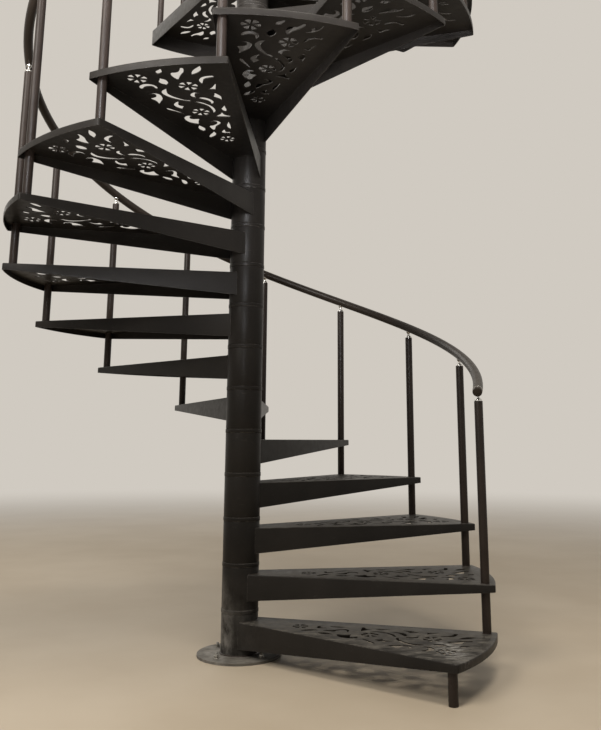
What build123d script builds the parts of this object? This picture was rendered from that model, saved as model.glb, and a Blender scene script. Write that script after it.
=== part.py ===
from build123d import *

import math
import os

# A steel spiral staircase. Sizes are in millimetres and angles in degrees.
# The column's axis is Z and the floor is z = 0. Seen from above, the flight climbs anticlockwise.

# Setting out of the flight
riser = 200.0
first_riser = 154.0
treads_in_a_turn = 14
tread_count = 17
first_post_azimuth = -44.5
step_angle = 360 / treads_in_a_turn
landing_number = tread_count + 1

# Fits between pieces
sliding_clearance = 0.3

# The many slim round tubes and pins are drawn with few sides, so that the stair keeps few faces
tube_sides = 12
pin_sides = 8

# Column of stacked sleeves
sleeve_radius = 84.15
joint_above_tread = 40.0

# Floor plate
base_radius = 190.0
base_thickness = 12.0
anchor_circle_radius = 140.0
anchor_hole_radius = 7.0
anchor_count = 4

# Treads and landing, folded from sheet
sheet = 4.0
tread_radius = 1148.0
hub_flange_depth = 112.0
outer_flange_depth = 30.0
landing_flange_depth = 100.0
landing_angle = 90.0
hub_wrap_angle = 50.0
corner_margin = 33.0

# Flowers cut through the treads and the landing, placed from the column along and across a tread
flower_places = ((905.0, 42.0), (646.0, -7.0))
petal_count = 6
first_petal_angle = 30.0
petal_inner_radius = 9.0
petal_length = 31.0
petal_width = 25.0
landing_pattern_repeats = 3

# Balusters and the short post below the first tread. They stand inside the treads' outer edge.
first_baluster = 2
post_edge_distance = 43.0
post_circle_radius = tread_radius - post_edge_distance
post_radius = 19.0
baluster_height = 973.0

# Handrail, carried on a pin above each baluster, with a joint midway past two of the balusters
rail_radius = 22.5
pin_radius = 6.0
pin_height = 34.5
rail_height = baluster_height + pin_height + rail_radius
rail_overrun = 55.0
rail_runs_per_tread = 3
lower_joint_baluster = 7
upper_joint_baluster = 12

# Newel and guard above the landing
newel_height = 1075.0
newel_cap_height = 10.0
newel_cap_lip = 8.0
guard_post_spacing = 315.0
guard_post_count = 3
guard_rail_overrun = 55.0


def tread_top(number):
    """Height of a tread's top face. The landing counts as the last tread."""
    return first_riser + (number - 1) * riser


def post_azimuth(number):
    """Azimuth of the post at a tread's front corner."""
    return first_post_azimuth + (number - 1) * step_angle


def turned_plane(azimuth, height):
    """Level plane on the column's axis, with its X axis turned to an azimuth."""
    turn = math.radians(azimuth)
    return Plane(origin=(0, 0, height), x_dir=(math.cos(turn), math.sin(turn), 0), z_dir=(0, 0, 1))


def polar_point(radius, angle):
    """Plan point at a radius and an angle from the plane's X axis."""
    turn = math.radians(angle)
    return (radius * math.cos(turn), radius * math.sin(turn))


def plate_corner(half_span):
    """Left outer corner of a tread or landing whose corner posts stand half_span either side of X."""
    return polar_point(tread_radius, half_span + math.degrees(corner_margin / post_circle_radius))


def plate_outline(half_span):
    left_corner = plate_corner(half_span)
    right_corner = (left_corner[0], -left_corner[1])
    left_hub = polar_point(sleeve_radius, half_span + hub_wrap_angle)
    right_hub = polar_point(sleeve_radius, -half_span - hub_wrap_angle)
    with BuildLine() as outline:
        Polyline(left_corner, left_hub, right_hub, right_corner)
        ThreePointArc(right_corner, (tread_radius, 0), left_corner)
    return outline.line


def flower_pattern():
    """The flowers of one tread, each of wedge petals round a small eye."""
    with BuildSketch() as flowers:
        with Locations(*flower_places):
            with PolarLocations(petal_inner_radius, petal_count, start_angle=first_petal_angle):
                Polygon((0, 0), (petal_length, petal_width / 2), (petal_length, -petal_width / 2), align=None)
    return flowers.sketch


def folded_plate(top, half_span, depth, taper_to, front_post, pattern_turns):
    """Sheet plate with flanges folded down on its three free edges, bored for its front post.

    The flower pattern is cut once for each of its turns from the plate's X axis.
    """
    outline = plate_outline(half_span)
    flowers = flower_pattern()
    with BuildPart() as plate:
        with BuildSketch(top):
            with BuildLine():
                add(outline)
            make_face()
        extrude(amount=-depth)
        with BuildSketch(top.offset(-sheet)):
            with BuildLine():
                add(outline)
            make_face()
            offset(amount=-sheet, kind=Kind.INTERSECTION)
        extrude(amount=-depth, mode=Mode.SUBTRACT)
        if taper_to < depth:
            side = Plane(origin=top.origin, x_dir=top.x_dir, z_dir=-top.y_dir)
            taper_end = plate_corner(half_span)[0] - sheet
            with BuildSketch(side):
                with BuildLine():
                    Polyline(
                        (0, -depth),
                        (sleeve_radius, -depth),
                        (taper_end, -taper_to),
                        (tread_radius + sheet, -taper_to),
                        (tread_radius + sheet, -depth - sheet),
                        (0, -depth - sheet),
                        close=True,
                    )
                make_face()
            extrude(amount=tread_radius, both=True, mode=Mode.SUBTRACT)
        with BuildSketch(top):
            Circle(sleeve_radius + sliding_clearance)
        extrude(amount=-depth, mode=Mode.SUBTRACT)
        if front_post:
            with BuildSketch(turned_plane(front_post, top.origin.Z)):
                with Locations((post_circle_radius, 0)):
                    RegularPolygon(post_radius + sliding_clearance, tube_sides)
            extrude(amount=-sheet, mode=Mode.SUBTRACT)
        for turn in pattern_turns:
            with BuildSketch(top.rotated((0, 0, turn))):
                add(flowers)
            extrude(amount=-sheet, mode=Mode.SUBTRACT)
    return plate


def write_piece(piece, name):
    piece.part.label = name
    export_step(piece.part, f"parts/{name}.step")


def write_base_plate():
    with BuildPart() as base_plate:
        with BuildSketch(Plane.XY):
            Circle(base_radius)
            with PolarLocations(anchor_circle_radius, anchor_count, start_angle=180 / anchor_count):
                Circle(anchor_hole_radius, mode=Mode.SUBTRACT)
        extrude(amount=base_thickness)
    write_piece(base_plate, "base_plate")


def sleeve_foot(number):
    """Height of the joint below a tread's sleeve. The first sleeve stands on the floor plate."""
    return base_thickness if number == 1 else tread_top(number - 1) + joint_above_tread


def write_column():
    """Each sleeve carries a tread and ends a little above it. The newel stands on the last."""
    for name, first in (("hub_sleeves_odd", 1), ("hub_sleeves_even", 2)):
        with BuildPart() as hub_sleeves:
            for number in range(first, landing_number + 1, 2):
                with BuildSketch(Plane.XY.offset(sleeve_foot(number))):
                    Circle(sleeve_radius)
                extrude(amount=sleeve_foot(number + 1) - sleeve_foot(number))
        write_piece(hub_sleeves, name)

    newel_foot = sleeve_foot(landing_number + 1)
    newel_top = tread_top(landing_number) + newel_height
    with BuildPart() as newel_post:
        with BuildSketch(Plane.XY.offset(newel_foot)):
            Circle(sleeve_radius)
        extrude(amount=newel_top - newel_foot)
        with BuildSketch(Plane.XY.offset(newel_top)):
            Circle(sleeve_radius + newel_cap_lip)
        extrude(amount=newel_cap_height)
    write_piece(newel_post, "newel_post")


def write_treads():
    for number in range(1, tread_count + 1):
        top = turned_plane(post_azimuth(number) + step_angle / 2, tread_top(number))
        front_post = post_azimuth(number) if number >= first_baluster else None
        tread = folded_plate(top, step_angle / 2, hub_flange_depth, outer_flange_depth, front_post, [0])
        write_piece(tread, f"tread_{number:02d}")


def write_landing():
    top = turned_plane(post_azimuth(landing_number) + landing_angle / 2, tread_top(landing_number))
    front_post = post_azimuth(landing_number)
    pattern_step = landing_angle / landing_pattern_repeats
    turns = [(k - (landing_pattern_repeats - 1) / 2) * pattern_step for k in range(landing_pattern_repeats)]
    depth = landing_flange_depth
    landing = folded_plate(top, landing_angle / 2, depth, depth, front_post, turns)
    write_piece(landing, "landing")


def write_posts():
    with BuildPart() as foot_post:
        with BuildSketch(turned_plane(post_azimuth(1), 0)):
            with Locations((post_circle_radius, 0)):
                RegularPolygon(post_radius, tube_sides)
        extrude(amount=tread_top(1) - sheet)
    write_piece(foot_post, "foot_post")

    for number in range(first_baluster, landing_number + 1):
        with BuildPart() as baluster:
            with BuildSketch(turned_plane(post_azimuth(number), tread_top(number - 1))):
                with Locations((post_circle_radius, 0)):
                    RegularPolygon(post_radius, tube_sides)
            extrude(amount=baluster_height)
        write_piece(baluster, f"baluster_{number:02d}")


def rail_point(turns):
    """Point on the handrail's centre line. A post's number is its place along the rail."""
    x, y = polar_point(post_circle_radius, post_azimuth(turns))
    return (x, y, tread_top(turns - 1) + rail_height)


def write_handrail():
    """The rail is drawn as short straight runs, so that it keeps few faces."""
    overrun = math.degrees(rail_overrun / post_circle_radius) / step_angle
    first = first_baluster - overrun
    last = landing_number + overrun
    lower_joint = lower_joint_baluster + 1 / 2
    upper_joint = upper_joint_baluster + 1 / 2
    run_count = (landing_number - first_baluster) * rail_runs_per_tread
    bends = [first_baluster + k / rail_runs_per_tread for k in range(run_count + 1)]
    for name, start, end in (
        ("handrail_lower", first, lower_joint),
        ("handrail_middle", lower_joint, upper_joint),
        ("handrail_upper", upper_joint, last),
    ):
        inner = [b for b in bends if start < b < end]
        with BuildPart() as handrail:
            with BuildLine() as path:
                Polyline([chord_point(bends, start)] + [rail_point(b) for b in inner] + [chord_point(bends, end)])
            with BuildSketch(Plane(path.line @ 0, z_dir=path.line % 0)):
                RegularPolygon(rail_radius, tube_sides)
            sweep(transition=Transition.RIGHT)
        write_piece(handrail, name)


def chord_point(bends, place):
    """Point on the straight run that holds a place, or on the helix past the end bends."""
    lower = [b for b in bends if b <= place]
    upper = [b for b in bends if b >= place]
    if not lower or not upper:
        return rail_point(place)
    share = 0 if lower[-1] == upper[0] else (place - lower[-1]) / (upper[0] - lower[-1])
    start = Vector(*rail_point(lower[-1]))
    end = Vector(*rail_point(upper[0]))
    return start + (end - start) * share


def write_pins():
    """The pins stop short of the sloping rail by the rise that their own width meets."""
    slope = math.atan2(riser, post_circle_radius * math.radians(step_angle))
    rail_underside = rail_height - (rail_radius + pin_radius * math.sin(slope)) / math.cos(slope)
    with BuildPart() as rail_pins:
        with BuildSketch(turned_plane(guard_azimuth, tread_top(landing_number) + baluster_height)):
            with Locations(*guard_places):
                RegularPolygon(pin_radius, pin_sides)
        extrude(amount=rail_height - rail_radius - baluster_height)
        for number in range(first_baluster, landing_number + 1):
            foot = tread_top(number - 1) + baluster_height
            with BuildSketch(turned_plane(post_azimuth(number), foot)):
                with Locations((post_circle_radius, 0)):
                    RegularPolygon(pin_radius, pin_sides)
            extrude(amount=rail_underside - sliding_clearance - baluster_height)
    write_piece(rail_pins, "rail_pins")


def write_guard():
    """The guard stands along the landing's far side and ends against the newel."""
    foot = tread_top(landing_number)
    with BuildPart() as guard_posts:
        with BuildSketch(turned_plane(guard_azimuth, foot)):
            with Locations(*guard_places):
                RegularPolygon(post_radius, tube_sides)
        extrude(amount=baluster_height)
    write_piece(guard_posts, "guard_posts")

    level = turned_plane(guard_azimuth, foot + rail_height)
    with BuildPart() as guard_rail:
        with BuildSketch(Plane(level.origin, x_dir=level.y_dir, z_dir=level.x_dir)):
            RegularPolygon(rail_radius, tube_sides)
        extrude(amount=post_circle_radius + guard_rail_overrun)
        with BuildSketch(Plane.XY.offset(foot)):
            Circle(sleeve_radius + sliding_clearance)
        extrude(amount=newel_height, mode=Mode.SUBTRACT)
    write_piece(guard_rail, "guard_rail")


guard_azimuth = post_azimuth(landing_number) + landing_angle
guard_places = [(post_circle_radius - k * guard_post_spacing, 0) for k in range(guard_post_count)]

os.makedirs("parts", exist_ok=True)
write_base_plate()
write_column()
write_treads()
write_landing()
write_posts()
write_handrail()
write_pins()
write_guard()
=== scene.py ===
import math

import bpy
from mathutils import Matrix, Vector


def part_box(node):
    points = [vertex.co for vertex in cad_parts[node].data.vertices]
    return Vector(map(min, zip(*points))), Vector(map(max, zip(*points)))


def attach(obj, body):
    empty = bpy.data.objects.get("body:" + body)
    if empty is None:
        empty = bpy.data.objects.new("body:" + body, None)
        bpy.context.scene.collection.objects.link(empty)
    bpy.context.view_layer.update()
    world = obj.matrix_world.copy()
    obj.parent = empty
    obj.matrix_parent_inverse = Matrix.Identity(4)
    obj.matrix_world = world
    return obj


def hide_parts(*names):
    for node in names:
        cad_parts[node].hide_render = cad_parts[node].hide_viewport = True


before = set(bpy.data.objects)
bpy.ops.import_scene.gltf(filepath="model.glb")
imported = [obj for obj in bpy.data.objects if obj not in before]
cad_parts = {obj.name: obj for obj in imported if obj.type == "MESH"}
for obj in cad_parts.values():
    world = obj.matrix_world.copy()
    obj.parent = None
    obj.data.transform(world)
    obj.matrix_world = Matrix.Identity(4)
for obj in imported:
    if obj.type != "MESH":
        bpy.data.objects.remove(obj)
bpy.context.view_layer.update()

# A steel spiral staircase. Lengths are in metres and angles in radians.
# The column's axis is Z and the floor is z = 0. Seen from above, the flight climbs anticlockwise.


def azimuth_of(node):
    low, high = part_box(node)
    return math.atan2(low.y + high.y, low.x + high.x)


# Setting out, read from the frame
tread_count = 17
landing_number = tread_count + 1
treads_per_turn = 14
first_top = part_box("tread_01")[1].z
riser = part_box("tread_02")[1].z - first_top
first_azimuth = azimuth_of("foot_post")
step_angle = math.tau / treads_per_turn
landing_angle = math.radians(90)
baluster_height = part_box("baluster_02")[1].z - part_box("baluster_02")[0].z
base_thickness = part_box("base_plate")[1].z
base_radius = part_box("base_plate")[1].x
newel_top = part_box("newel_post")[1].z

# Column and its rings
column_radius = 0.08415
joint_above_tread = 0.040
ring_height = 0.018
ring_groove = 0.0022
ring_lip = 0.0016
cap_height = 0.010
cap_lip = 0.008
cap_rim = 0.003
base_rim = 0.0015
anchor_circle = 0.140
anchor_count = 4

# Folded sheet
sheet = 0.004
tread_radius = 1.1479
hub_clearance = 0.0003
hub_wrap = math.radians(50)
corner_margin = 0.033
hub_depth = 0.112
edge_depth = 0.030
landing_depth = 0.100
fold_radius = 0.0045
corner_radius = 0.009
cut_edge_round = 0.0005

# Posts and rails
post_circle = 1.105
post_radius = 0.019
post_clearance = 0.0006
rail_radius = 0.0225
rail_height = 1.030
rail_overrun = 0.055
rail_cap_length = 0.026
rail_cap_radius = 0.96 * rail_radius
rail_ring_length = 0.0025
rail_joint_groove = 0.0007
guard_azimuth = first_azimuth + (landing_number - 1) * step_angle + landing_angle
guard_overrun = 0.055
guard_spacing = 0.315
guard_count = 3
slope = math.atan2(riser, post_circle * step_angle)

# Joints of the handrail's three runs, counted in balusters along it
lower_joint = 7.5
upper_joint = 12.5

# Weld beads: their radius, and the angle by which a tread's bead stops short of its wrap
post_weld = 0.0022
hub_weld = 0.0026
foot_weld = 0.005
hub_weld_gap = 0.03
weld_unevenness = 0.18

# Flowers of the cut pattern: place along and across the tread, and radius
flowers = (
    (1.016, -0.129, 0.040),
    (0.904, 0.041, 0.040),
    (0.646, -0.007, 0.038),
    (0.315, -0.004, 0.035),
)
petal_count = 6
first_petal_angle = math.radians(30)
landing_pattern_repeats = 3

# A stroke is left out where it is thinner than this, and a round end stands out by this share of its width
narrowest_stroke = 0.0006
tip_share = 0.4

# Stems and slim leaves of the pattern. Each is a stroke through points: along, across and its width there.
strokes = (
    (
        (0.769, -0.008, 0.013), (0.779, -0.029, 0.012), (0.796, -0.046, 0.016), (0.813, -0.061, 0.019),
        (0.834, -0.073, 0.022), (0.860, -0.080, 0.023), (0.884, -0.072, 0.018), (0.904, -0.055, 0),
    ),
    (
        (0.622, 0.043, 0), (0.644, 0.054, 0.011), (0.674, 0.057, 0.015), (0.700, 0.053, 0.014),
        (0.720, 0.042, 0.014), (0.738, 0.029, 0.015), (0.754, 0.010, 0.007),
    ),
    (
        (0.713, 0.069, 0), (0.733, 0.078, 0.014), (0.752, 0.076, 0.019), (0.770, 0.065, 0.023),
        (0.781, 0.051, 0.020), (0.786, 0.034, 0),
    ),
    (
        (0.795, 0.029, 0.006), (0.803, 0.024, 0.014), (0.815, 0.023, 0.017), (0.831, 0.032, 0.015),
        (0.838, 0.045, 0.010), (0.833, 0.064, 0),
    ),
    (
        (0.911, 0.103, 0), (0.930, 0.107, 0.013), (0.949, 0.115, 0.016), (0.962, 0.131, 0.019),
        (0.966, 0.151, 0.019), (0.965, 0.169, 0.016),
    ),
    (
        (0.997, 0.095, 0), (1.015, 0.113, 0.022), (1.031, 0.130, 0.026), (1.046, 0.143, 0.018),
        (1.064, 0.154, 0),
    ),
    (
        (1.041, -0.030, 0.012), (1.052, -0.021, 0.024), (1.062, -0.012, 0.016), (1.076, -0.002, 0),
    ),
    (
        (0.934, -0.041, 0), (0.948, -0.041, 0.028), (0.962, -0.041, 0.037), (0.980, -0.037, 0.028),
        (0.999, -0.040, 0),
    ),
    (
        (0.913, -0.093, 0.010), (0.931, -0.092, 0.015), (0.946, -0.101, 0.020), (0.953, -0.121, 0.025),
        (0.945, -0.142, 0.021), (0.928, -0.153, 0.012),
    ),
    (
        (0.648, -0.086, 0.006), (0.662, -0.097, 0.010), (0.680, -0.110, 0.012), (0.694, -0.121, 0.015),
        (0.708, -0.130, 0.017), (0.723, -0.134, 0),
    ),
    (
        (0.434, -0.077, 0), (0.450, -0.075, 0.023), (0.468, -0.073, 0.029), (0.486, -0.072, 0.019),
        (0.505, -0.070, 0),
    ),
    (
        (0.356, -0.074, 0.010), (0.372, -0.059, 0.023), (0.387, -0.047, 0.022), (0.399, -0.039, 0.017),
        (0.419, -0.033, 0),
    ),
    (
        (0.429, 0.053, 0), (0.445, 0.053, 0.012), (0.462, 0.056, 0.015), (0.482, 0.062, 0.013),
        (0.496, 0.067, 0.007), (0.515, 0.073, 0),
    ),
    (
        (0.628, 0.100, 0.004), (0.640, 0.100, 0.017), (0.656, 0.103, 0.020), (0.670, 0.109, 0.011),
        (0.689, 0.117, 0),
    ),
)

# Broad leaves of the pattern, as points on their outlines: along and across the tread
leaves = (
    (
        (0.969, 0.023), (0.985, 0.036), (0.998, 0.045), (1.012, 0.058), (1.024, 0.069), (1.040, 0.078),
        (1.060, 0.084), (1.064, 0.074), (1.048, 0.065), (1.036, 0.053), (1.033, 0.038), (1.034, 0.024),
        (1.018, 0.015), (0.995, 0.014),
    ),
    (
        (0.769, -0.147), (0.784, -0.135), (0.798, -0.123), (0.815, -0.111), (0.836, -0.105), (0.856, -0.104),
        (0.869, -0.112), (0.876, -0.128), (0.871, -0.148), (0.866, -0.130), (0.854, -0.123), (0.841, -0.128),
        (0.834, -0.143), (0.831, -0.158), (0.818, -0.158), (0.806, -0.151), (0.790, -0.147),
    ),
    (
        (0.697, -0.074), (0.710, -0.064), (0.722, -0.054), (0.730, -0.064), (0.741, -0.070), (0.755, -0.067),
        (0.773, -0.058), (0.769, -0.070), (0.757, -0.083), (0.741, -0.092), (0.722, -0.091), (0.706, -0.083),
    ),
    (
        (0.521, -0.067), (0.545, -0.059), (0.561, -0.051), (0.575, -0.043), (0.579, -0.055), (0.582, -0.070),
        (0.592, -0.080), (0.604, -0.077), (0.613, -0.063), (0.622, -0.076), (0.616, -0.092), (0.599, -0.104),
        (0.576, -0.108), (0.551, -0.103), (0.533, -0.089),
    ),
    (
        (0.434, -0.028), (0.447, -0.017), (0.462, -0.010), (0.476, 0.000), (0.486, 0.013), (0.498, 0.026),
        (0.515, 0.035), (0.531, 0.031), (0.541, 0.018), (0.543, -0.007), (0.534, 0.006), (0.527, 0.017),
        (0.515, 0.020), (0.505, 0.014), (0.497, 0.002), (0.490, -0.010), (0.490, -0.024), (0.476, -0.031),
        (0.455, -0.032),
    ),
    (
        (0.383, 0.032), (0.390, 0.039), (0.398, 0.036), (0.401, 0.022), (0.413, 0.020), (0.430, 0.024),
        (0.421, 0.012), (0.406, 0.002), (0.392, 0.001), (0.387, 0.016),
    ),
    (
        (0.565, 0.099), (0.575, 0.103), (0.585, 0.092), (0.599, 0.082), (0.620, 0.081), (0.607, 0.071),
        (0.597, 0.056), (0.587, 0.038), (0.579, 0.052), (0.572, 0.075),
    ),
    (
        (0.744, 0.127), (0.762, 0.131), (0.779, 0.135), (0.797, 0.132), (0.818, 0.122), (0.800, 0.115),
        (0.784, 0.104), (0.772, 0.111), (0.759, 0.120),
    ),
    (
        (0.849, 0.138), (0.859, 0.141), (0.874, 0.147), (0.900, 0.157), (0.883, 0.141), (0.870, 0.129),
        (0.860, 0.111), (0.853, 0.124),
    ),
)

# Fineness of the meshes
tube_sides = 48
column_sides = 96
pin_sides = 32
stud_sides = 24
bead_sides = 40
foot_bead_sides = 128
spans_per_stroke_point = 5
spans_per_leaf_point = 3
tread_arc_steps = 20
landing_arc_steps = 64
rail_steps_per_tread = 12
bevel_steps = 3
corner_steps = 4
merge_distance = 0.00001
smooth_limit = math.radians(32)

# Studio: the floor fades to the backdrop between these distances, and the room gives a weak even light
backdrop_tone = "d0cac1"
floor_tone, floor_cloud_tone = "b9aa94", "c2b49f"
floor_radius = 16
fade_start, fade_end = 3.0, 13.0
room_tone, room_strength = "f6f3ee", 0.21


def tread_top(number):
    """Height of a tread's top face. The landing counts as the last tread."""
    return first_top + (number - 1) * riser


def post_azimuth(number):
    return first_azimuth + (number - 1) * step_angle


def polar_place(radius, azimuth, height):
    return Vector((radius * math.cos(azimuth), radius * math.sin(azimuth), height))


# Handling of pieces


def select_only(piece):
    bpy.ops.object.select_all(action="DESELECT")
    piece.select_set(True)
    bpy.context.view_layer.objects.active = piece


def name_newest(name):
    piece = bpy.context.object
    piece.name = name
    piece.data.name = name
    return piece


def open_whole(piece):
    """Opens a piece in edit mode with all of it selected."""
    select_only(piece)
    bpy.ops.object.mode_set(mode="EDIT")
    bpy.ops.mesh.select_all(action="SELECT")


def open_with_edges(piece, choose):
    """Opens a piece in edit mode with the edges selected that choose() picks by their two ends."""
    select_only(piece)
    bpy.ops.object.mode_set(mode="EDIT")
    bpy.ops.mesh.select_mode(type="EDGE")
    bpy.ops.mesh.select_all(action="DESELECT")
    bpy.ops.object.mode_set(mode="OBJECT")
    points = piece.data.vertices
    for edge in piece.data.edges:
        edge.select = choose(points[edge.vertices[0]].co, points[edge.vertices[1]].co)
    bpy.ops.object.mode_set(mode="EDIT")


def close_edit():
    bpy.ops.object.mode_set(mode="OBJECT")


def bevel_edges(piece, choose, width, steps=bevel_steps):
    open_with_edges(piece, choose)
    bpy.ops.mesh.bevel(offset=width, segments=steps, profile=0.5)
    close_edit()


def turn_faces_outward(piece):
    open_whole(piece)
    bpy.ops.mesh.remove_doubles(threshold=merge_distance)
    bpy.ops.mesh.normals_make_consistent(inside=False)
    close_edit()


def close_pinholes(piece):
    """Fills any hole of three or four sides that merging close points has left."""
    open_whole(piece)
    bpy.ops.mesh.fill_holes(sides=4)
    close_edit()


def close_ends(piece):
    """Fills the open ends of a tube."""
    open_whole(piece)
    bpy.ops.mesh.fill_holes(sides=0)
    close_edit()
    turn_faces_outward(piece)


def apply_modifier(piece, kind, **settings):
    select_only(piece)
    modifier = piece.modifiers.new(kind.lower(), kind)
    for key, value in settings.items():
        setattr(modifier, key, value)
    bpy.ops.object.modifier_apply(modifier=modifier.name)


def settle(piece, place=(0, 0, 0), turn=(0, 0, 0)):
    """Moves and turns a piece, and leaves its place in its mesh."""
    select_only(piece)
    piece.location = place
    piece.rotation_euler = turn
    bpy.ops.object.transform_apply(location=True, rotation=True, scale=True)
    return piece


def copy_of(master, name):
    select_only(master)
    bpy.ops.object.duplicate()
    return name_newest(name)


def join_all(parts, name):
    bpy.ops.object.select_all(action="DESELECT")
    for part in parts:
        part.select_set(True)
    bpy.context.view_layer.objects.active = parts[0]
    bpy.ops.object.join()
    return name_newest(name)


def remove_all(*pieces):
    for piece in pieces:
        bpy.data.objects.remove(piece)


def finish_piece(piece, material, slot, *nodes):
    """Gives a piece its finish and smooth shading, hangs it on the root body, and hides the nodes that it
    stands for.
    """
    select_only(piece)
    piece.data.materials.clear()
    piece.data.materials.append(material)
    bpy.ops.object.shade_smooth_by_angle(angle=smooth_limit)
    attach(piece, "root")
    if nodes:
        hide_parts(*nodes)
    return piece


def turned(name, profile, sides=tube_sides):
    """A solid turned about Z from a profile of radius and height that starts and ends on the axis."""
    bpy.ops.object.select_all(action="DESELECT")
    bpy.ops.mesh.primitive_circle_add(vertices=len(profile), fill_type="NOTHING")
    piece = name_newest(name)
    for vertex, (radius, height) in zip(piece.data.vertices, profile):
        vertex.co = (radius, 0, height)
    open_with_edges(piece, lambda a, b: a.x == 0 and b.x == 0)
    bpy.ops.mesh.delete(type="EDGE")
    bpy.ops.mesh.select_all(action="SELECT")
    bpy.ops.mesh.spin(steps=sides, angle=math.tau, center=(0, 0, 0), axis=(0, 0, 1))
    close_edit()
    turn_faces_outward(piece)
    return piece


def round_tube(name, radius, length, edge=0.0012, sides=tube_sides):
    """A tube's outer form standing on z = 0, with both rims rounded."""
    middle = (0, 0, length / 2)
    bpy.ops.object.select_all(action="DESELECT")
    bpy.ops.mesh.primitive_cylinder_add(vertices=sides, radius=radius, depth=length, location=middle)
    piece = settle(name_newest(name), middle)
    bevel_edges(piece, lambda a, b: abs(a.z - b.z) < edge, edge)
    return piece


def round_cutter(radius, place, sides):
    bpy.ops.object.select_all(action="DESELECT")
    bpy.ops.mesh.primitive_cylinder_add(vertices=sides, radius=radius, depth=1, location=place)
    return settle(name_newest("round_cutter"), place)


# Cut pattern


def curve_point(a, b, c, d, share):
    """Point on the smooth line between b and c, which also heeds their neighbours."""
    return (
        2 * b + (c - a) * share + (2 * a - 5 * b + 4 * c - d) * share**2 + (3 * b - a - 3 * c + d) * share**3
    ) / 2


def smooth_line(fours, spans):
    """Points on the curve between the middle two of each four neighbours."""
    return [curve_point(*four, step / spans) for four in fours for step in range(spans)]


def stroke_outline(points):
    """Outline of a stroke. An end with no width is a point, and any other end is rounded."""
    points = [Vector(p) for p in points]
    ends = [points[0], *points, points[-1]]
    line = smooth_line(zip(ends, ends[1:], ends[2:], ends[3:]), spans_per_stroke_point) + [points[-1]]
    left, right = [], []
    for before, point, after in zip([line[0], *line], line, [*line[1:], line[-1]]):
        along = (after.xy - before.xy).normalized()
        side = Vector((-along.y, along.x)) * point.z / 2
        if point.z > narrowest_stroke:
            left.append(point.xy + side)
            right.append(point.xy - side)
    first_tip = line[0].xy + (line[0].xy - line[1].xy).normalized() * line[0].z * tip_share
    last_tip = line[-1].xy + (line[-1].xy - line[-2].xy).normalized() * line[-1].z * tip_share
    return [first_tip, *left, last_tip, *reversed(right)]


def leaf_outline(points):
    """Smooth closed line through a leaf's outline points."""
    points = [Vector(p) for p in points]
    fours = zip([points[-1], *points], points, [*points[1:], points[0]], [*points[2:], *points[:2]])
    return smooth_line(fours, spans_per_leaf_point)


def petal_outline(radius):
    """A wedge with its point towards the flower's eye and a rounded outer side."""
    eye, half_width, shoulder, bulge = 0.22, 0.34, 0.82, 0.18
    last_turn = 1.2
    half = half_width * radius
    turns = (-last_turn, -0.7, -0.25, 0.25, 0.7, last_turn)
    rim = [(shoulder + bulge * math.cos(t), math.sin(t)) for t in turns]
    return [(eye * radius, 0)] + [(x * radius, y * half / math.sin(last_turn)) for x, y in rim]


def flower_outlines(x, y, radius):
    outlines = []
    for petal in range(petal_count):
        turn = Matrix.Rotation(first_petal_angle + math.tau * petal / petal_count, 2)
        outlines.append([Vector((x, y)) + turn @ Vector(point) for point in petal_outline(radius)])
    return outlines


def cutter(outline, bottom, top):
    """A closed prism that cuts one opening."""
    bpy.ops.object.select_all(action="DESELECT")
    bpy.ops.mesh.primitive_circle_add(vertices=len(outline), fill_type="NGON")
    tool = name_newest("cutter")
    for vertex, (x, y) in zip(tool.data.vertices, outline):
        vertex.co = (x, y, bottom)
    open_whole(tool)
    bpy.ops.mesh.extrude_region_move(TRANSFORM_OT_translate={"value": (0, 0, top - bottom)})
    close_edit()
    turn_faces_outward(tool)
    return tool


def pattern_cutters():
    outlines = [stroke_outline(points) for points in strokes] + [leaf_outline(points) for points in leaves]
    for flower in flowers:
        outlines += flower_outlines(*flower)
    tools = [cutter(outline, -2 * sheet, sheet) for outline in outlines]
    return join_all(tools, "pattern_cutter")


# Treads and landing


def flat_plate(name, corner_azimuth, outer, inner, arc_steps):
    """Flat plate on the X axis, with straight sides between its four corners and an arc as its rim."""
    bpy.ops.object.select_all(action="DESELECT")
    bpy.ops.mesh.primitive_plane_add(size=2)
    piece = name_newest(name)
    for vertex in piece.data.vertices:
        end = outer if vertex.co.x > 0 else inner
        vertex.co = (end.x, math.copysign(end.y, vertex.co.y), 0)

    open_with_edges(piece, lambda a, b: min(a.x, b.x) > outer.x - sheet)
    bpy.ops.mesh.subdivide(number_cuts=arc_steps - 1)
    close_edit()
    for vertex in piece.data.vertices:
        if vertex.co.x > outer.x - sheet:
            vertex.co = polar_place(tread_radius, corner_azimuth * vertex.co.y / outer.y, 0)
    return piece


def fold_down(piece, outer, depth_at_hub, depth_at_edge):
    """Flanges below a plate's rim and sides. Their depth tapers from the column to the rim."""
    open_with_edges(piece, lambda a, b: max(a.x, b.x) > outer.x - sheet)
    bpy.ops.mesh.extrude_edges_move(TRANSFORM_OT_translate={"value": (0, 0, -depth_at_edge)})
    close_edit()
    for vertex in piece.data.vertices:
        if vertex.co.z < 0:
            share = min(max((vertex.co.x - column_radius) / (outer.x - sheet - column_radius), 0), 1)
            vertex.co.z = -depth_at_hub + share * (depth_at_hub - depth_at_edge)
    turn_faces_outward(piece)
    # An open sheet has no inside, so its top may still face down here.
    up = sum(face.normal.z * face.area for face in piece.data.polygons)
    if up < 0:
        open_whole(piece)
        bpy.ops.mesh.flip_normals()
        close_edit()


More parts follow.
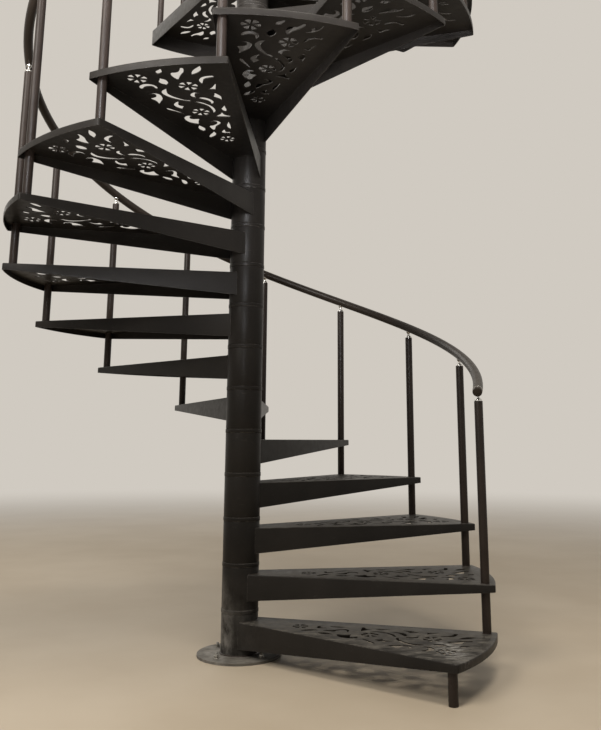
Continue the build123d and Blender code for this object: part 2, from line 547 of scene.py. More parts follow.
def folded_plate(name, half_span, depth_at_hub, depth_at_edge, arc_steps, tools):
    """Sheet plate on the X axis, folded down on three sides and cut by the tools."""
    corner_azimuth = half_span + corner_margin / post_circle
    outer = polar_place(tread_radius, corner_azimuth, 0)
    inner = polar_place(column_radius, half_span + hub_wrap, 0)
    piece = flat_plate(name, corner_azimuth, outer, inner, arc_steps)
    fold_down(piece, outer, depth_at_hub, depth_at_edge)

    def at_corner(point):
        return math.dist(point.xy, (outer.x, math.copysign(outer.y, point.y))) < sheet / 4

    bevel_edges(piece, lambda a, b: at_corner(a) and at_corner(b), corner_radius, corner_steps)
    hub_side = inner.x + sheet
    bevel_edges(piece, lambda a, b: a.z == 0 and b.z == 0 and max(a.x, b.x) > hub_side, fold_radius)
    apply_modifier(
        piece, "SOLIDIFY", thickness=sheet, offset=-1, use_even_offset=True, use_quality_normals=True
    )
    for tool in tools:
        apply_modifier(piece, "BOOLEAN", operation="DIFFERENCE", object=tool, solver="EXACT")
    apply_modifier(
        piece, "BEVEL", width=cut_edge_round, segments=1, limit_method="ANGLE", angle_limit=math.radians(50)
    )
    turn_faces_outward(piece)
    close_pinholes(piece)
    return piece


def post_hole(half_span):
    """Cutter for the baluster that passes a plate's front corner."""
    place = polar_place(post_circle, -half_span, 0)
    return round_cutter(post_radius + post_clearance, place, tube_sides)


def make_treads(pattern, hub, material, first_material):
    """The first tread stands on a post, so it alone has no hole for one."""
    half_span = step_angle / 2
    hole = post_hole(half_span)
    first = folded_plate("tread_plate_01", half_span, hub_depth, edge_depth, tread_arc_steps, [pattern, hub])
    tools = [pattern, hub, hole]
    master = folded_plate("tread_master", half_span, hub_depth, edge_depth, tread_arc_steps, tools)
    for number in range(1, landing_number):
        name = f"tread_plate_{number:02d}"
        piece = first if number == 1 else copy_of(master, name)
        settle(piece, (0, 0, tread_top(number)), (0, 0, post_azimuth(number) + half_span))
        finish_piece(piece, first_material if number == 1 else material, "tread_paint", f"tread_{number:02d}")
    remove_all(hole, master)


def make_landing(pattern, hub, material):
    """A quarter landing with the treads' pattern repeated side by side."""
    half_span = landing_angle / 2
    middle = (landing_pattern_repeats - 1) / 2
    turns = [(k - middle) * landing_angle / landing_pattern_repeats for k in range(landing_pattern_repeats)]
    patterns = [settle(copy_of(pattern, "pattern"), turn=(0, 0, turn)) for turn in turns]
    hole = post_hole(half_span)
    tools = [*patterns, hub, hole]
    landing = folded_plate("landing_plate", half_span, landing_depth, landing_depth, landing_arc_steps, tools)
    settle(landing, (0, 0, tread_top(landing_number)), (0, 0, post_azimuth(landing_number) + half_span))
    finish_piece(landing, material, "tread_paint", "landing")
    remove_all(*patterns, hole)


def make_plates(material, first_material):
    pattern = pattern_cutters()
    hub = round_cutter(column_radius + hub_clearance, (0, 0, 0), column_sides)
    make_treads(pattern, hub, material, first_material)
    make_landing(pattern, hub, material)
    remove_all(pattern, hub)


# Column


def ring_foot(number):
    return tread_top(number) + joint_above_tread - ring_height / 2


def make_sleeves(material):
    """One sleeve for each riser, joined as two pieces of every other sleeve."""
    odd, even = [], []
    foot = base_thickness
    for number in range(1, landing_number + 1):
        sleeve = round_tube("sleeve", column_radius, ring_foot(number) - foot, ring_groove, column_sides)
        (odd if number % 2 else even).append(settle(sleeve, (0, 0, foot)))
        foot = ring_foot(number) + ring_height
    finish_piece(join_all(odd, "column_sleeves_odd"), material, "column_paint", "hub_sleeves_odd")
    finish_piece(join_all(even, "column_sleeves_even"), material, "column_paint", "hub_sleeves_even")


def make_rings(material):
    rings = []
    for number in range(1, landing_number + 1):
        ring = round_tube("ring", column_radius + ring_lip, ring_height, ring_groove, column_sides)
        rings.append(settle(ring, (0, 0, ring_foot(number))))
    finish_piece(join_all(rings, "spacer_rings"), material, "column_paint")


def make_newel(material):
    """The column's top above the landing, with its cap."""
    foot = ring_foot(landing_number) + ring_height
    shaft = round_tube("newel_shaft", column_radius, newel_top - cap_height - foot, ring_groove, column_sides)
    settle(shaft, (0, 0, foot))
    lip = column_radius + cap_lip
    profile = (
        (0, 0), (lip - cap_rim / 2, 0), (lip, cap_rim / 2), (lip, cap_height - 2 * cap_rim),
        (lip - cap_rim, cap_height - cap_rim), (lip - 4 * cap_rim, cap_height - cap_rim / 3), (0, cap_height),
    )
    cap = settle(turned("newel_cap", profile, column_sides), (0, 0, newel_top - cap_height))
    finish_piece(join_all([shaft, cap], "newel"), material, "column_paint", "newel_post")


def make_floor_plate(material):
    profile = (
        (0, 0), (base_radius, 0), (base_radius, base_thickness - base_rim),
        (base_radius - base_rim, base_thickness), (0, base_thickness),
    )
    plate = turned("floor_plate", profile, column_sides)
    finish_piece(plate, material, "column_paint", "base_plate")


def make_anchor_bolts(material):
    """Washer, nut and threaded stud, four times. Each nut stops at an angle of its own."""
    washer_radius, washer_height = 0.0125, 0.0025
    nut_radius, nut_height = 0.0108, 0.010
    stud_radius, stud_height, pitch = 0.006, 0.020, 0.00175
    # Shares of these sizes, and then of a bolt's azimuth
    washer_top, washer_side, nut_edge, thread_root, stud_tip = 0.97, 0.8, 0.08, 0.86, 0.8
    nut_turn = 1.7
    profile = (
        (0, 0), (washer_radius, 0), (washer_radius, washer_height * washer_side),
        (washer_radius * washer_top, washer_height), (0, washer_height),
    )
    washer = turned("washer", profile)
    bpy.ops.object.select_all(action="DESELECT")
    bpy.ops.mesh.primitive_cylinder_add(vertices=6, radius=nut_radius, depth=nut_height)
    nut = settle(name_newest("nut"), (0, 0, washer_height + nut_height / 2))
    bevel_edges(nut, lambda a, b: True, nut_height * nut_edge, steps=2)
    turns = int(stud_height / pitch)
    thread = [(0, 0)]
    for turn in range(turns):
        thread += [(stud_radius * thread_root, turn * pitch), (stud_radius, (turn + 0.5) * pitch)]
    thread += [(stud_radius * stud_tip, turns * pitch), (0, turns * pitch)]
    stud = settle(turned("stud", thread, stud_sides), (0, 0, washer_height))
    master = join_all([washer, nut, stud], "anchor_master")
    for number in range(anchor_count):
        azimuth = math.tau * (number + 0.5) / anchor_count
        place = polar_place(anchor_circle, azimuth, base_thickness)
        bolt = settle(copy_of(master, f"anchor_bolt_{number + 1}"), place, (0, 0, azimuth * nut_turn))
        finish_piece(bolt, material, "bright_fitting")
    remove_all(master)


# Balusters, rails and guard


def guard_place(number, above_landing):
    """Place of a guard post's point, this far above the landing."""
    radius = post_circle - number * guard_spacing
    return polar_place(radius, guard_azimuth, tread_top(landing_number) + above_landing)


def make_posts(material):
    foot_post = round_tube("foot_post_tube", post_radius, first_top - sheet)
    settle(foot_post, polar_place(post_circle, first_azimuth, 0))
    finish_piece(foot_post, material, "post_paint", "foot_post")
    master = round_tube("baluster_master", post_radius, baluster_height)
    for number in range(2, landing_number + 1):
        place = polar_place(post_circle, post_azimuth(number), tread_top(number - 1))
        baluster = settle(copy_of(master, f"baluster_tube_{number:02d}"), place)
        finish_piece(baluster, material, "post_paint", f"baluster_{number:02d}")
    guard_posts = [settle(copy_of(master, "guard_post"), guard_place(n, 0)) for n in range(guard_count)]
    finish_piece(join_all(guard_posts, "guard_post_tubes"), material, "post_paint", "guard_posts")
    remove_all(master)


def pin_profile():
    """Radius and height up a dome, the pin's neck and the saddle under the rail."""
    dome, pin, saddle = 0.0165, 0.0062, 0.0125
    gap = rail_height - baluster_height - rail_radius
    top = gap + rail_radius / 2
    return (
        (0, 0), (dome, 0), (dome, 0.003), (dome * 0.95, 0.0065), (dome * 0.8, 0.0098), (dome * 0.58, 0.0122),
        (pin * 1.15, 0.0138), (pin, 0.0155), (pin, gap - 0.0125), (pin * 1.25, gap - 0.0095),
        (saddle * 0.85, gap - 0.0065), (saddle, gap - 0.0035), (saddle, top), (0, top),
    )


def make_pins(material):
    """A bright dome on each post, with a pin that widens to a saddle under the rail."""
    master = turned("pin_master", pin_profile(), pin_sides)
    places = []
    for number in range(2, landing_number + 1):
        height = tread_top(number - 1) + baluster_height
        places.append(polar_place(post_circle, post_azimuth(number), height))
    places += [guard_place(number, baluster_height) for number in range(guard_count)]
    pins = [settle(copy_of(master, "pin"), place) for place in places]
    finish_piece(join_all(pins, "pin_domes"), material, "bright_fitting", "rail_pins")
    remove_all(master)


def rail_place(post):
    """Point on the handrail's centre line. A post's number is its place along the rail."""
    return polar_place(post_circle, post_azimuth(post), tread_top(post - 1) + rail_height)


def rail_direction(post):
    azimuth = post_azimuth(post)
    level = math.cos(slope)
    return Vector((-math.sin(azimuth) * level, math.cos(azimuth) * level, math.sin(slope)))


def make_rail_run(name, start, end, material, node):
    """Round tube along the helix between two places."""
    bpy.ops.object.select_all(action="DESELECT")
    bpy.ops.mesh.primitive_circle_add(vertices=tube_sides, radius=rail_radius, fill_type="NOTHING")
    turn = rail_direction(start).to_track_quat("Z", "Y").to_euler()
    tube = settle(name_newest(name), rail_place(start), turn)
    steps = int((end - start) * rail_steps_per_tread)
    apply_modifier(
        tube,
        "SCREW",
        axis="Z",
        angle=(end - start) * step_angle,
        screw_offset=(end - start) * riser,
        steps=steps,
        render_steps=steps,
        use_merge_vertices=False,
    )
    close_ends(tube)
    apply_modifier(tube, "BEVEL", width=rail_joint_groove, limit_method="ANGLE", angle_limit=math.radians(60))
    finish_piece(tube, material, "rail_paint", node)


def make_rail_end(name, place, direction, material, ring_material):
    """A bright ring and a rounded plug on a rail's end. The place is the plug's outer end."""
    rounding = ((1, 0.72), (0.93, 0.87), (0.74, 0.97))
    shoulder = [(rail_cap_radius * across, rail_cap_length * along) for across, along in rounding]
    plug = turned(f"{name}_plug", ((0, 0), (rail_cap_radius, 0), *shoulder, (0, rail_cap_length)))
    ring = round_tube(f"{name}_ring", rail_radius, rail_ring_length, edge=rail_ring_length * 0.25)
    turn = direction.to_track_quat("Z", "Y").to_euler()
    settle(plug, place - direction * rail_cap_length, turn)
    settle(ring, place - direction * (rail_cap_length + rail_ring_length), turn)
    finish_piece(plug, material, "rail_paint")
    finish_piece(ring, ring_material, "bright_fitting")


def make_handrail(material, ring_material):
    """Three runs along the helix, with a plug at both ends."""
    overrun = rail_overrun / (post_circle * step_angle)
    end_share = (rail_cap_length + rail_ring_length) * math.cos(slope) / (post_circle * step_angle)
    first, last = 2 - overrun, landing_number + overrun
    make_rail_run("rail_lower", first + end_share, lower_joint, material, "handrail_lower")
    make_rail_run("rail_middle", lower_joint, upper_joint, material, "handrail_middle")
    make_rail_run("rail_upper", upper_joint, last - end_share, material, "handrail_upper")
    ends = (("rail_end_lower", first, -1, end_share), ("rail_end_upper", last, 1, -end_share))
    for name, post, way, share in ends:
        direction = rail_direction(post + share) * way
        place = rail_place(post + share) + direction * (rail_cap_length + rail_ring_length)
        make_rail_end(name, place, direction, material, ring_material)


def make_guard_rail(material, ring_material):
    """A level rail from the newel along the landing's far edge."""
    reach = post_circle + guard_overrun
    height = Vector((0, 0, tread_top(landing_number) + rail_height))
    outward = polar_place(1, guard_azimuth, 0)
    run = reach - rail_cap_length - rail_ring_length - column_radius
    guard = round_tube("guard_rail_tube", rail_radius, run)
    settle(guard, outward * column_radius + height, outward.to_track_quat("Z", "Y").to_euler())
    finish_piece(guard, material, "rail_paint", "guard_rail")
    make_rail_end("guard_end", outward * reach + height, outward, material, ring_material)


# Welds


def bead(name, radius, thickness, place, seed, sides=bead_sides):
    """A weld bead round a tube, slightly uneven."""
    bpy.ops.object.select_all(action="DESELECT")
    bpy.ops.mesh.primitive_torus_add(
        major_radius=radius, minor_radius=thickness, major_segments=sides, minor_segments=8, location=place
    )
    ring = settle(name_newest(name), place)
    open_whole(ring)
    bpy.ops.transform.vertex_random(offset=thickness * weld_unevenness, seed=seed)
    close_edit()
    return ring


def hub_bead(azimuth, half_angle, height, seed):
    """The open arc of weld where a tread's plate meets its sleeve."""
    ring = bead("hub_bead", column_radius, hub_weld, (0, 0, 0), seed, column_sides)
    open_with_edges(ring, lambda a, b: max(abs(math.atan2(a.y, a.x)), abs(math.atan2(b.y, b.x))) > half_angle)
    bpy.ops.mesh.delete(type="EDGE")
    close_edit()
    close_ends(ring)
    return settle(ring, (0, 0, height), (0, 0, azimuth))


def make_post_welds(material):
    """Beads round each post, where it stands on a plate and where it passes one."""
    beads = []
    for number in range(2, landing_number + 1):
        for tread in (number - 1, number):
            place = polar_place(post_circle, post_azimuth(number), tread_top(tread))
            beads.append(bead("bead", post_radius, post_weld, place, number))
    place = polar_place(post_circle, first_azimuth, first_top - sheet)
    beads.append(bead("bead", post_radius, post_weld, place, 1))
    for number in range(guard_count):
        beads.append(bead("bead", post_radius, post_weld, guard_place(number, 0), number))
    finish_piece(join_all(beads, "baluster_welds"), material, "post_paint")


def make_hub_welds(material):
    beads = []
    for number in range(1, landing_number + 1):
        half_span = (landing_angle if number == landing_number else step_angle) / 2
        half_angle = half_span + hub_wrap - hub_weld_gap
        beads.append(hub_bead(post_azimuth(number) + half_span, half_angle, tread_top(number), number))
    finish_piece(join_all(beads, "sleeve_welds"), material, "column_paint")


def make_foot_weld(material):
    place = (0, 0, base_thickness)
    foot = bead("column_foot_weld", column_radius, foot_weld, place, seed=5, sides=foot_bead_sides)
    finish_piece(foot, material, "column_paint")


# Shader nodes


def tone(code):
    """Linear colour, with alpha, of a colour written as six hexadecimal digits."""
    channels = [int(code[i:i + 2], 16) / 255 for i in (0, 2, 4)]
    return [c / 12.92 if c <= 0.04045 else ((c + 0.055) / 1.055) ** 2.4 for c in channels] + [1.0]


def put(tree, kind, inputs=None, **settings):
    """Adds a node with its settings. An input is a value, or the socket that is linked to it."""
    node = tree.nodes.new(kind)
    for key, value in settings.items():
        setattr(node, key, value)
    for key, value in (inputs or {}).items():
        if isinstance(value, bpy.types.NodeSocket):
            tree.links.new(value, node.inputs[key])
        else:
            node.inputs[key].default_value = value
    return node


def calculate(tree, operation, *values, clamp=False):
    node = put(tree, "ShaderNodeMath", dict(enumerate(values)), operation=operation, use_clamp=clamp)
    return node.outputs[0]


def product(tree, first, *others):
    for other in others:
        first = calculate(tree, "MULTIPLY", first, other)
    return first


def calculate_vector(tree, operation, *values):
    """A vector, or the one value that a length or a dot product gives."""
    node = put(tree, "ShaderNodeVectorMath", dict(enumerate(values)), operation=operation)
    return node.outputs["Value" if operation in ("LENGTH", "DOT_PRODUCT") else "Vector"]


def mix(tree, share, first, second):
    inputs = {0: share, 6: first, 7: second}
    return put(tree, "ShaderNodeMix", inputs, data_type="RGBA").outputs[2]


def spread(tree, value, low, high, start=0.0, end=1.0):
    """Takes a value from the range low to high into the range start to end."""
    inputs = {"Value": value, "From Min": low, "From Max": high, "To Min": start, "To Max": end}
    return put(tree, "ShaderNodeMapRange", inputs).outputs[0]


def object_place(tree):
    return put(tree, "ShaderNodeTexCoord").outputs["Object"]


def upward(tree):
    """One where a face looks up, nought where it is upright and less where it looks down."""
    normal = put(tree, "ShaderNodeNewGeometry").outputs["Normal"]
    return put(tree, "ShaderNodeSeparateXYZ", {0: normal}).outputs["Z"]


def noise(tree, scale, detail=3.0, roughness=0.5, stretch=(1, 1, 1)):
    place = object_place(tree)
    if stretch != (1, 1, 1):
        place = put(tree, "ShaderNodeMapping", {"Vector": place, "Scale": stretch}).outputs[0]
    inputs = {"Vector": place, "Scale": scale, "Detail": detail, "Roughness": roughness}
    return put(tree, "ShaderNodeTexNoise", inputs).outputs["Fac"]


def mottle(tree, low, high, start=0.0, end=1.0, **look):
    """Patches of noise, with its range low to high taken into start to end."""
    return spread(tree, noise(tree, **look), low, high, start, end)


def streaks(tree, low, high, turn, stretch, detail, roughness):
    """Thin lines of noise that run one way."""
    inputs = {"Vector": object_place(tree), "Rotation": turn, "Scale": stretch}
    place = put(tree, "ShaderNodeMapping", inputs).outputs[0]
    inputs = {"Vector": place, "Scale": 1.0, "Detail": detail, "Roughness": roughness}
    return spread(tree, put(tree, "ShaderNodeTexNoise", inputs).outputs["Fac"], low, high)


def new_group(name, inputs, outputs):
    """An empty shader node group with its sockets, given as name and first value."""
    group = bpy.data.node_groups.new(name, "ShaderNodeTree")
    for label, value in inputs.items():
        kind = "NodeSocketFloat" if isinstance(value, float) else "NodeSocketColor"
        group.interface.new_socket(label, in_out="INPUT", socket_type=kind).default_value = value
    for label, kind in outputs.items():
        group.interface.new_socket(label, in_out="OUTPUT", socket_type=kind)
    return group, group.nodes.new("NodeGroupInput").outputs, group.nodes.new("NodeGroupOutput").inputs


def new_share_group(name, **inputs):
    return new_group(name, inputs, {"Share": "NodeSocketFloat"})


def send_share(group, given, result, *masks):
    """Sends out where the masks meet, times the group's amount."""
    share = calculate(group, "MULTIPLY", product(group, *masks), given["Amount"], clamp=True)
    group.links.new(share, result["Share"])


# Effects that the finishes share


def paint_tone_group():
    """Sprayed paint: broad cloudy tone with a fine speckle."""
    sockets = {"Paint": tone("201d1a"), "Lighter Paint": tone("34302b")}
    group, given, result = new_group("paint_tone", sockets, {"Color": "NodeSocketColor"})
    clouds = mottle(group, scale=2.6, detail=4.0, roughness=0.55, low=0.36, high=0.66)
    speckle = mottle(group, scale=260.0, detail=2.0, low=0.3, high=0.75)
    share = calculate(group, "MULTIPLY_ADD", speckle, 0.3, calculate(group, "MULTIPLY", clouds, 0.7))
    group.links.new(mix(group, share, given["Paint"], given["Lighter Paint"]), result["Color"])


def paint_grain_group():
    """Height of the paint's orange peel and of slow waves in the sheet."""
    group, given, result = new_group("paint_grain", {"Fineness": 700.0}, {"Height": "NodeSocketFloat"})
    peel = noise(group, given["Fineness"], detail=2.0)
    waves = noise(group, scale=22.0, detail=2.0)
    height = calculate(group, "MULTIPLY_ADD", waves, 1.6, calculate(group, "MULTIPLY", peel, 0.35))
    group.links.new(height, result["Height"])


def settled_dust_group():
    """Share of dust on faces that look up, in patches crossed by smears."""
    group, given, result = new_share_group("settled_dust", Amount=0.5)
    level = spread(group, upward(group), low=0.45, high=0.95)
    look = {"scale": 9.0, "detail": 6.0, "roughness": 0.66, "stretch": (1, 2.6, 1)}
    patches = mottle(group, low=0.36, high=0.66, start=0.06, **look)
    look = {"scale": 34.0, "detail": 5.0, "roughness": 0.7, "stretch": (1, 3.2, 1)}
    smears = mottle(group, low=0.4, high=0.6, start=0.1, end=1.5, **look)
    grit = mottle(group, scale=190.0, roughness=0.7, low=0.35, high=0.7, start=0.55)
    send_share(group, given, result, patches, grit, smears, level)


def worn_and_highlit_edges_group():
    """Share of rubbed paint along outer edges, broken up. Where a finish sets it strong and wide, as on the
    spacer rings, it is also a painted highlight along the rims.
    """
    group, given, result = new_share_group("worn_and_highlit_edges", Width=0.0015, Amount=0.6)
    flat = put(group, "ShaderNodeNewGeometry").outputs["Normal"]
    rounded = put(group, "ShaderNodeBevel", {"Radius": given["Width"]}, samples=4).outputs[0]
    edge = spread(group, calculate_vector(group, "DOT_PRODUCT", flat, rounded), low=0.995, high=0.86)
    broken = mottle(group, scale=45.0, detail=5.0, roughness=0.7, low=0.42, high=0.62)
    send_share(group, given, result, edge, broken)


def scratches_group():
    """Share of fine scratches in two crossing directions."""
    group, given, result = new_share_group("scratches", Amount=0.5)
    look = {"stretch": (9, 190, 190), "detail": 3.0, "roughness": 0.5, "low": 0.66, "high": 0.74}
    lines = [streaks(group, turn=(0.2, 0.1, turn), **look) for turn in (0.35, 1.25)]
    patches = mottle(group, scale=16.0, low=0.45, high=0.6)
    send_share(group, given, result, calculate(group, "MAXIMUM", *lines), patches)


def foot_haze_group():
    """Share of plaster haze near the floor, close to the column and mostly on its near left side."""
    group, given, result = new_share_group("foot_haze", Top=0.36, Reach=0.30, Amount=0.5)
    parts = put(group, "ShaderNodeSeparateXYZ", {0: object_place(group)}).outputs
    low_down = spread(group, parts["Z"], low=given["Top"], high=0.0)
    across = put(group, "ShaderNodeCombineXYZ", {0: parts["X"], 1: parts["Y"]}).outputs[0]
    near = spread(group, calculate_vector(group, "LENGTH", across), low=given["Reach"], high=0.08)
    near_left = (-10.0, 1.5, 0)
    side = calculate_vector(group, "DOT_PRODUCT", across, near_left)
    side = spread(group, side, low=0.1, high=0.75, start=0.15)
    runs = mottle(group, scale=17.0, detail=6.0, roughness=0.66, stretch=(1, 1, 0.6), low=0.36, high=0.66)
    send_share(group, given, result, low_down, near, side, runs)


def corner_scuff_group():
    """Share of pale scuffs near the first tread's front corner, in a patch drawn out towards the front."""
    inward, onward = 0.07, 0.13
    corner = polar_place(post_circle - inward, first_azimuth + onward, first_top)
    group, given, result = new_share_group("corner_scuff", Reach=0.20, Amount=0.8)
    offset = calculate_vector(group, "SUBTRACT", object_place(group), corner)
    squeezed = calculate_vector(group, "MULTIPLY", offset, (2.6, 1.0, 1.0))
    near = spread(group, calculate_vector(group, "LENGTH", squeezed), low=given["Reach"], high=0.05)
    look = {"detail": 4.0, "roughness": 0.65, "low": 0.54, "high": 0.64}
    ways = ((0.1, (18, 105, 60)), (0.9, (16, 120, 60)))
    lines = [streaks(group, turn=(0, 0, turn), stretch=stretch, **look) for turn, stretch in ways]
    level = spread(group, upward(group), low=0.0, high=0.9, start=0.3)
    send_share(group, given, result, near, calculate(group, "MAXIMUM", *lines), level)


group_makers = {
    "paint_tone": paint_tone_group,
    "paint_grain": paint_grain_group,
    "settled_dust": settled_dust_group,
    "worn_and_highlit_edges": worn_and_highlit_edges_group,
    "scratches": scratches_group,
    "foot_haze": foot_haze_group,
    "corner_scuff": corner_scuff_group,
}


def use_group(tree, name, values=None):
    """Places a shared group in a material, with this material's own values. The first use builds it."""
    if name not in bpy.data.node_groups:
        group_makers[name]()
    return put(tree, "ShaderNodeGroup", values, node_tree=bpy.data.node_groups[name])


# Finishes


def new_material(name):
    material = bpy.data.materials.new(name)
    material.use_nodes = True
    return material, material.node_tree, material.node_tree.nodes["Principled BSDF"]


def mottled_tone(tree, dark, light):
    return use_group(tree, "paint_tone", {"Paint": tone(dark), "Lighter Paint": tone(light)}).outputs["Color"]


def paint_material(
    name, dark, light, base_roughness, dust, edge_wear_and_highlight=0.4, haze=0.0, scuff=0.0, specular=0.2, edge_mark_width=0.0015
):
    """Satin paint on steel, with what lies on it and what has worn off it. Strong, wide edge wear also stands
    for a painted highlight along the edges.
    """
    material, tree, surface = new_material(name)
    colour = mottled_tone(tree, dark, light)
    smoother, rougher = base_roughness - 0.05, base_roughness + 0.07
    look = {"scale": 34.0, "detail": 4.0, "roughness": 0.6}
    roughness = mottle(tree, low=0.3, high=0.7, start=smoother, end=rougher, **look)
    layers = [
        ("settled_dust", {"Amount": dust}, "858077", 0.85),
        ("scratches", {"Amount": 0.25}, "57534e", 0.6),
        # Pale edges: rubbed paint, and a painted highlight where the edge wear is set strong and wide
        ("worn_and_highlit_edges", {"Amount": edge_wear_and_highlight, "Width": edge_mark_width}, "8d8780", 0.45),
    ]
    if haze:
        layers.append(("foot_haze", {"Amount": haze}, "a7a39d", 0.9))
    if scuff:
        layers.append(("corner_scuff", {"Amount": scuff}, "cfccc7", 0.8))
    for group, values, code, layer_roughness in layers:
        share = use_group(tree, group, values).outputs["Share"]
        colour = mix(tree, share, colour, tone(code))
        change = calculate(tree, "SUBTRACT", layer_roughness, roughness)
        roughness = calculate(tree, "MULTIPLY_ADD", share, change, roughness)
    tree.links.new(colour, surface.inputs["Base Color"])
    tree.links.new(roughness, surface.inputs["Roughness"])
    height = use_group(tree, "paint_grain").outputs["Height"]
    relief = put(tree, "ShaderNodeBump", {"Height": height, "Strength": 0.16, "Distance": 0.0012})
    tree.links.new(relief.outputs["Normal"], surface.inputs["Normal"])
    surface.inputs["Specular IOR Level"].default_value = specular
    return material


def metal_material(name, dark, light, least_roughness):
    """Bare bright steel with faint smears."""
    material, tree, surface = new_material(name)
    colour = mottled_tone(tree, dark, light)
    share = use_group(tree, "settled_dust", {"Amount": 0.25}).outputs["Share"]
    tree.links.new(mix(tree, share, colour, tone("8d8b86")), surface.inputs["Base Color"])
    look = {"scale": 90.0, "detail": 4.0, "roughness": 0.6}
    smears = mottle(tree, low=0.3, high=0.7, start=least_roughness, end=least_roughness + 0.12, **look)
    tree.links.new(smears, surface.inputs["Roughness"])
    surface.inputs["Metallic"].default_value = 1.0
    return material


# Stage, light and camera


def seen_directly(tree):
    """One where the camera, a reflection or a view through glass meets the surface, else nought."""
    path = put(tree, "ShaderNodeLightPath").outputs
    either = calculate(tree, "MAXIMUM", path["Is Camera Ray"], path["Is Glossy Ray"])
    return calculate(tree, "MAXIMUM", either, path["Is Transmission Ray"])


def make_floor():
    """A pale floor that fades to the backdrop's colour away from the stair."""
    bpy.ops.object.select_all(action="DESELECT")
    bpy.ops.mesh.primitive_circle_add(vertices=96, radius=floor_radius, fill_type="NGON")
    floor = name_newest("studio_floor")
    material, tree, surface = new_material("pale_floor")
    away = calculate_vector(tree, "LENGTH", object_place(tree))
    inputs = {"Value": away, "From Min": fade_start, "From Max": fade_end}
    far = put(tree, "ShaderNodeMapRange", inputs, interpolation_type="SMOOTHSTEP").outputs[0]
    cloud = mottle(tree, scale=1.3, detail=4.0, low=0.35, high=0.65)
    tree.links.new(mix(tree, cloud, tone(floor_tone), tone(floor_cloud_tone)), surface.inputs["Base Color"])
    surface.inputs["Roughness"].default_value = 0.55
    glow = put(tree, "ShaderNodeEmission", {"Color": tone(backdrop_tone)})
    share = calculate(tree, "MULTIPLY", far, seen_directly(tree))
    blend = put(tree, "ShaderNodeMixShader", {0: share, 1: surface.outputs[0], 2: glow.outputs[0]})
    tree.links.new(blend.outputs[0], tree.nodes["Material Output"].inputs["Surface"])
    floor.data.materials.append(material)


def make_world():
    """A pale backdrop to look at, and a weak even light from the room all round."""
    world = bpy.data.worlds.new("studio")
    world.use_nodes = True
    bpy.context.scene.world = world
    tree = world.node_tree
    tree.nodes.clear()
    backdrop = put(tree, "ShaderNodeBackground", {"Color": tone(backdrop_tone), "Strength": 1.0})
    room = put(tree, "ShaderNodeBackground", {"Color": tone(room_tone), "Strength": room_strength})
    inputs = {0: seen_directly(tree), 1: room.outputs[0], 2: backdrop.outputs[0]}
    shader = put(tree, "ShaderNodeMixShader", inputs)
    output = put(tree, "ShaderNodeOutputWorld")
    tree.links.new(shader.outputs[0], output.inputs["Surface"])


def add_light(kind, name, place, aim, power, colour):
    """A light at a place, turned towards another. The camera doesn't see it."""
    direction = Vector(aim) - Vector(place)
    turn = direction.to_track_quat("-Z", "Y").to_euler()
    bpy.ops.object.light_add(type=kind, location=place, rotation=turn)
    light = bpy.context.object
    light.name = name
    light.data.energy = power
    light.data.color = tone(colour)[:3]
    light.visible_camera = False
    return light.data


def add_soft_light(name, place, aim, size, power, colour):
    light = add_light("AREA", name, place, aim, power, colour)
    light.size = size


def add_cone_light(name, place, aim, softness, power, cone, colour):
    """A cone of light, this many degrees wide, from the camera's side that reaches the upper flight alone."""
    light = add_light("SPOT", name, place, aim, power, colour)
    light.spot_size = math.radians(cone)
    light.spot_blend = 1.0
    light.shadow_soft_size = softness


def light_stage():
    """Soft lights from each side, and two cones of light for the upper flight."""
    place, aim = (-3.2, -3.5, 4.9), (-0.4, 0, 2.8)
    add_soft_light("key_light", place, aim, size=2.6, power=220, colour="fffaf2")
    place, aim = (4.5, -4.5, 2.4), (0, 0, 1.6)
    add_soft_light("fill_light", place, aim, size=4.0, power=6, colour="f4f6fa")
    place, aim = (0.8, -2.9, 6.6), (0.3, 0, 0.6)
    add_soft_light("top_light", place, aim, size=2.2, power=210, colour="fff8ee")
    place, aim = (-2.5, 5.5, 5.5), (0, 0, 2.2)
    add_soft_light("rear_light", place, aim, size=4.0, power=100, colour="fbf7f0")
    place, aim = (-0.8, -4.8, 2.9), (0.0, 0, 3.6)
    add_cone_light("upper_light", place, aim, softness=0.9, power=3100, cone=47, colour="f2f3f7")
    place, aim = (-0.7, -4.4, 0.5), (0.1, 0, 3.6)
    add_cone_light("underside_light", place, aim, softness=0.9, power=850, cone=44, colour="f4f5f8")


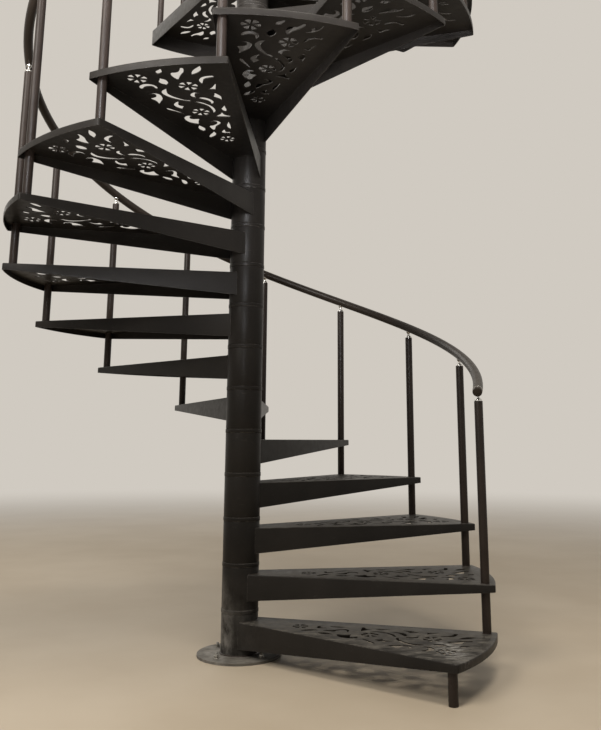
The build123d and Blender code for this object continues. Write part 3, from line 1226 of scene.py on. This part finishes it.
def make_camera():
    """The camera stands where the photograph was taken from. Its lens is in pixels of a 601 by 730 image."""
    image_width, image_height = 601, 730
    focal_pixels = 805.14
    axis_across, axis_down = 311.76, 270.96
    place = (0, -3.9338, 0.9550)
    turn_left, tilt_up, roll = -0.08208, 0.20638, 0.00418
    bpy.ops.object.camera_add(location=place)
    camera = bpy.context.object
    turn = Matrix.Rotation(turn_left, 4, "Z") @ Matrix.Rotation(math.pi / 2 + tilt_up, 4, "X")
    camera.matrix_world = Matrix.Translation(place) @ turn @ Matrix.Rotation(roll, 4, "Z")
    longer_side = max(image_width, image_height)
    camera.data.sensor_width = 36
    camera.data.lens = focal_pixels * camera.data.sensor_width / longer_side
    camera.data.shift_x = (image_width / 2 - axis_across) / longer_side
    camera.data.shift_y = (axis_down - image_height / 2) / longer_side
    camera.data.clip_end = 60
    bpy.context.scene.camera = camera


# The stair's finishes, each with its darker and lighter tone

sheet_tones = "191715", "282522"
sheet_paint = paint_material("sheet_paint", *sheet_tones, base_roughness=0.38, dust=0.42, specular=0.12)
first_tread_paint = paint_material(
    "first_tread_paint", *sheet_tones, base_roughness=0.38, dust=0.7, haze=0.35, scuff=0.85, specular=0.12
)
column_tones = "171513", "25221f"
column_paint = paint_material(
    "column_paint", *column_tones, base_roughness=0.38, dust=0.4, haze=1.0, specular=0.12
)
# The rings' strong, wide edge wear is partly rubbed paint and partly a painted highlight along their rims
ring_paint = paint_material(
    "ring_paint", *column_tones, base_roughness=0.38,
    dust=0.6, haze=1.0, edge_wear_and_highlight=1.0, edge_mark_width=0.004, specular=0.12,
)
floor_plate_paint = paint_material(
    "floor_plate_paint", "3b3834", "625e57", base_roughness=0.6,
    dust=1.0, haze=1.0, edge_wear_and_highlight=0.8, edge_mark_width=0.003,
)
tube_paint = paint_material("tube_paint", "1f1916", "362e29", base_roughness=0.34, dust=0.3)
rail_paint = paint_material("rail_paint", "1f1a16", "332c26", base_roughness=0.33, dust=0.3)
bright_steel = metal_material("bright_steel", "b9b8b5", "dcdbd8", least_roughness=0.12)
zinc_steel = metal_material("zinc_steel", "8a8883", "aeaba4", least_roughness=0.32)

# The stair's pieces

make_plates(sheet_paint, first_tread_paint)
make_sleeves(column_paint)
make_rings(ring_paint)
make_newel(column_paint)
make_floor_plate(floor_plate_paint)
make_anchor_bolts(zinc_steel)
make_posts(tube_paint)
make_pins(bright_steel)
make_handrail(rail_paint, bright_steel)
make_guard_rail(rail_paint, bright_steel)
make_post_welds(tube_paint)
make_hub_welds(tube_paint)
make_foot_weld(tube_paint)

make_floor()
make_world()
light_stage()
make_camera()
bpy.context.scene.view_settings.view_transform = "Standard"
